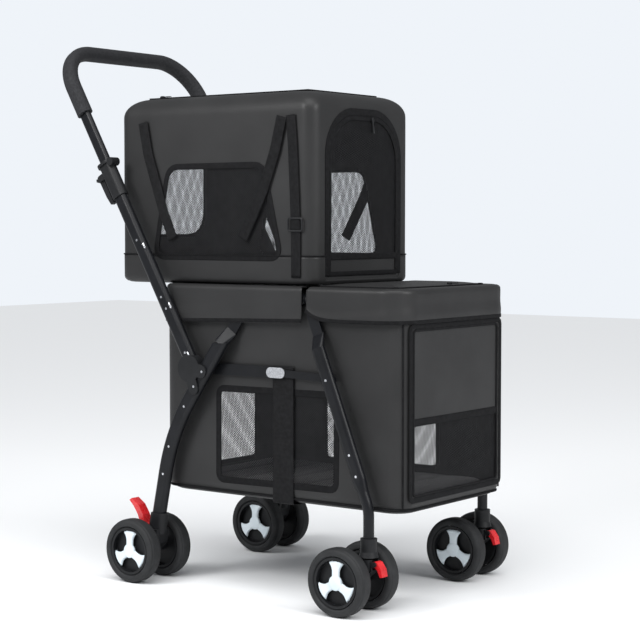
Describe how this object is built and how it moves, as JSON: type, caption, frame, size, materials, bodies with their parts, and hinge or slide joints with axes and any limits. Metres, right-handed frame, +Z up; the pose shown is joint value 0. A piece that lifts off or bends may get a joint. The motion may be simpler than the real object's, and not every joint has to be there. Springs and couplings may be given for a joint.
{
  "type": "pet stroller",
  "caption": "Two-tier folding stroller: a lift-off padded pet carrier on a hanging fabric basket, with a telescoping handle and twin-wheel casters.",
  "frame": {"origin": "on the ground under the middle of the whole stroller", "axes": "+X forwards, away from the handle; +Y to the left; +Z up"},
  "size_m": [0.868, 0.517, 1.0833],
  "materials": {
    "frame": "satin",
    "bare_steel": "brushed",
    "rivet": "polished",
    "black_plastic": "matte",
    "red_plastic": "gloss",
    "hub": "satin",
    "tyre": "matte",
    "grip": "matte",
    "fabric": "matte",
    "webbing": "matte",
    "board": "matte"
  },
  "bodies": {
    "rear_frame": {"rear_leg_left": "frame", "rear_leg_right": "frame", "handle_post_left": "frame", "handle_post_right": "frame", "knuckles": "black_plastic", "rear_rim": "frame", "front_rim": "frame", "frame_rivets": "rivet", "clamp_sleeves": "black_plastic", "rear_caster_housings": "black_plastic", "rear_axles": "bare_steel", "basket_bag": "fabric", "rim_covers": "fabric"},
    "handle": {"handle_tube": "frame", "handle_grip": "grip"},
    "basket_panel": {"basket_front_panel": "fabric"},
    "top_flap": {"basket_top_flap": "fabric"},
    "floor": {"basket_floor_board": "board"},
    "lift_strap": {"support_strap": "webbing", "link_pins": "bare_steel"},
    "cabin": {"carrier_shell": "fabric", "carrier_base": "board"},
    "cabin_lid": {"carrier_lid": "fabric"},
    "cabin_door": {"carrier_door": "fabric"},
    "clamp_lever_left": {"clamp_lever_left": "black_plastic"},
    "front_leg_left": {"front_leg_left": "frame", "front_leg_rivets_left": "rivet", "caster_socket_left": "black_plastic"},
    "front_caster_left": {"caster_fork_left": "black_plastic", "front_axle_left": "bare_steel"},
    "swivel_lock_left": {"swivel_lock_left": "red_plastic"},
    "brake_pedal_left": {"brake_pedal_left": "red_plastic"},
    "link_rear_left": {"link_rear_left": "frame"},
    "link_front_left": {"link_front_left": "frame"},
    "clamp_lever_right": {"clamp_lever_right": "black_plastic"},
    "front_leg_right": {"front_leg_right": "frame", "front_leg_rivets_right": "rivet", "caster_socket_right": "black_plastic"},
    "front_caster_right": {"caster_fork_right": "black_plastic", "front_axle_right": "bare_steel"},
    "swivel_lock_right": {"swivel_lock_right": "red_plastic"},
    "brake_pedal_right": {"brake_pedal_right": "red_plastic"},
    "link_rear_right": {"link_rear_right": "frame"},
    "link_front_right": {"link_front_right": "frame"},
    "rear_outer_wheel_right": {"rear_outer_hub_right": "hub", "rear_outer_tyre_right": "tyre"},
    "rear_inner_wheel_right": {"rear_inner_hub_right": "hub", "rear_inner_tyre_right": "tyre"},
    "front_outer_wheel_right": {"front_outer_hub_right": "hub", "front_outer_tyre_right": "tyre"},
    "front_inner_wheel_right": {"front_inner_hub_right": "hub", "front_inner_tyre_right": "tyre"},
    "rear_outer_wheel_left": {"rear_outer_hub_left": "hub", "rear_outer_tyre_left": "tyre"},
    "rear_inner_wheel_left": {"rear_inner_hub_left": "hub", "rear_inner_tyre_left": "tyre"},
    "front_outer_wheel_left": {"front_outer_hub_left": "hub", "front_outer_tyre_left": "tyre"},
    "front_inner_wheel_left": {"front_inner_hub_left": "hub", "front_inner_tyre_left": "tyre"}
  },
  "joints": [
    {"name": "handle_slide", "type": "slide", "parent": "rear_frame", "child": "handle", "axis": [-0.5, 0, 0.866], "range_m": [-0.105, 0]},
    {"name": "left_clamp_lever", "type": "hinge", "parent": "rear_frame", "child": "clamp_lever_left", "pos_m": [-0.29174, 0.1975, 0.80212], "axis": [0, 1, 0], "range_deg": [0, 70]},
    {"name": "right_clamp_lever", "type": "hinge", "parent": "rear_frame", "child": "clamp_lever_right", "pos_m": [-0.29174, -0.1975, 0.80212], "axis": [0, 1, 0], "range_deg": [0, 70]},
    {"name": "right_front_leg_fold", "type": "hinge", "parent": "rear_frame", "child": "front_leg_right", "pos_m": [0.22705, -0.1975, 0.548], "axis": [0, 1, 0], "range_deg": [0, 42], "deforming": ["basket_bag"]},
    {"name": "right_link_rear", "type": "hinge", "parent": "rear_frame", "child": "link_rear_right", "pos_m": [-0.01741, -0.1975, 0.43], "axis": [0, 1, 0], "range_deg": [-39.98, 0]},
    {"name": "right_link_front", "type": "hinge", "parent": "link_rear_right", "child": "link_front_right", "pos_m": [0.14305, -0.1975, 0.43], "axis": [0, 1, 0], "range_deg": [0, 93.12]},
    {"name": "right_caster_swivel", "type": "hinge", "parent": "front_leg_right", "child": "front_caster_right", "pos_m": [0.36805, -0.1975, 0.104], "axis": [0, 0, 1], "continuous": true},
    {"name": "right_swivel_lock", "type": "hinge", "parent": "front_caster_right", "child": "swivel_lock_right", "pos_m": [0.38705, -0.1975, 0.096], "axis": [0, -1, 0], "range_deg": [0, 25]},
    {"name": "right_brake_pedal", "type": "hinge", "parent": "rear_frame", "child": "brake_pedal_right", "pos_m": [-0.17695, -0.1975, 0.106], "axis": [0, -1, 0], "range_deg": [0, 25]},
    {"name": "right_rear_outer_spin", "type": "hinge", "parent": "rear_frame", "child": "rear_outer_wheel_right", "pos_m": [-0.17295, -0.242, 0.0635], "axis": [0, 1, 0], "continuous": true},
    {"name": "right_rear_inner_spin", "type": "hinge", "parent": "rear_frame", "child": "rear_inner_wheel_right", "pos_m": [-0.17295, -0.153, 0.0635], "axis": [0, 1, 0], "continuous": true},
    {"name": "right_front_outer_spin", "type": "hinge", "parent": "front_caster_right", "child": "front_outer_wheel_right", "pos_m": [0.33405, -0.242, 0.0635], "axis": [0, 1, 0], "continuous": true},
    {"name": "right_front_inner_spin", "type": "hinge", "parent": "front_caster_right", "child": "front_inner_wheel_right", "pos_m": [0.33405, -0.153, 0.0635], "axis": [0, 1, 0], "continuous": true},
    {"name": "left_front_leg_fold", "type": "hinge", "parent": "rear_frame", "child": "front_leg_left", "pos_m": [0.22705, 0.1975, 0.548], "axis": [0, 1, 0], "range_deg": [0, 42]},
    {"name": "left_link_rear", "type": "hinge", "parent": "rear_frame", "child": "link_rear_left", "pos_m": [-0.01741, 0.1975, 0.43], "axis": [0, 1, 0], "range_deg": [-39.98, 0]},
    {"name": "left_link_front", "type": "hinge", "parent": "link_rear_left", "child": "link_front_left", "pos_m": [0.14305, 0.1975, 0.43], "axis": [0, 1, 0], "range_deg": [0, 93.12]},
    {"name": "left_caster_swivel", "type": "hinge", "parent": "front_leg_left", "child": "front_caster_left", "pos_m": [0.36805, 0.1975, 0.104], "axis": [0, 0, 1], "continuous": true},
    {"name": "left_swivel_lock", "type": "hinge", "parent": "front_caster_left", "child": "swivel_lock_left", "pos_m": [0.38705, 0.1975, 0.096], "axis": [0, -1, 0], "range_deg": [0, 25]},
    {"name": "left_brake_pedal", "type": "hinge", "parent": "rear_frame", "child": "brake_pedal_left", "pos_m": [-0.17695, 0.1975, 0.106], "axis": [0, -1, 0], "range_deg": [0, 25]},
    {"name": "left_rear_outer_spin", "type": "hinge", "parent": "rear_frame", "child": "rear_outer_wheel_left", "pos_m": [-0.17295, 0.242, 0.0635], "axis": [0, 1, 0], "continuous": true},
    {"name": "left_rear_inner_spin", "type": "hinge", "parent": "rear_frame", "child": "rear_inner_wheel_left", "pos_m": [-0.17295, 0.153, 0.0635], "axis": [0, 1, 0], "continuous": true},
    {"name": "left_front_outer_spin", "type": "hinge", "parent": "front_caster_left", "child": "front_outer_wheel_left", "pos_m": [0.33405, 0.242, 0.0635], "axis": [0, 1, 0], "continuous": true},
    {"name": "left_front_inner_spin", "type": "hinge", "parent": "front_caster_left", "child": "front_inner_wheel_left", "pos_m": [0.33405, 0.153, 0.0635], "axis": [0, 1, 0], "continuous": true},
    {"name": "strap_hang", "type": "hinge", "parent": "link_rear_right", "child": "lift_strap", "pos_m": [0.14305, 0, 0.43], "axis": [0, 1, 0], "range_deg": [0, 39.98]},
    {"name": "basket_floor_lift", "type": "slide", "parent": "rear_frame", "child": "floor", "axis": [0, 0, 1], "range_m": [0, 0.1036]},
    {"name": "cabin_lift", "type": "slide", "parent": "rear_frame", "child": "cabin", "axis": [0, 0, 1], "range_m": [0, 0.3]},
    {"name": "cabin_lid_hinge", "type": "hinge", "parent": "cabin", "child": "cabin_lid", "pos_m": [0.17205, 0, 0.9636], "axis": [0, 1, 0], "range_deg": [0, 110]},
    {"name": "cabin_door_hinge", "type": "hinge", "parent": "cabin", "child": "cabin_door", "pos_m": [0.21505, 0, 0.6116], "axis": [0, 1, 0], "range_deg": [0, 90]},
    {"name": "basket_panel_hinge", "type": "hinge", "parent": "rear_frame", "child": "basket_panel", "pos_m": [0.43105, 0, 0.521], "axis": [0, -1, 0], "range_deg": [0, 90]},
    {"name": "top_flap_hinge", "type": "hinge", "parent": "rear_frame", "child": "top_flap", "pos_m": [0.21905, 0, 0.594], "axis": [0, -1, 0], "range_deg": [0, 80]}
  ],
  "couplings": [
    {"joint": "right_link_rear", "follows": "right_front_leg_fold", "ratio": -0.95198},
    {"joint": "right_link_front", "follows": "right_front_leg_fold", "ratio": 2.2171},
    {"joint": "left_link_rear", "follows": "right_front_leg_fold", "ratio": -0.95198},
    {"joint": "left_link_front", "follows": "right_front_leg_fold", "ratio": 2.2171},
    {"joint": "left_front_leg_fold", "follows": "right_front_leg_fold", "ratio": 1},
    {"joint": "strap_hang", "follows": "right_front_leg_fold", "ratio": 0.95198},
    {"joint": "basket_floor_lift", "follows": "right_front_leg_fold", "m_per_rad": 0.14065}
  ]
}
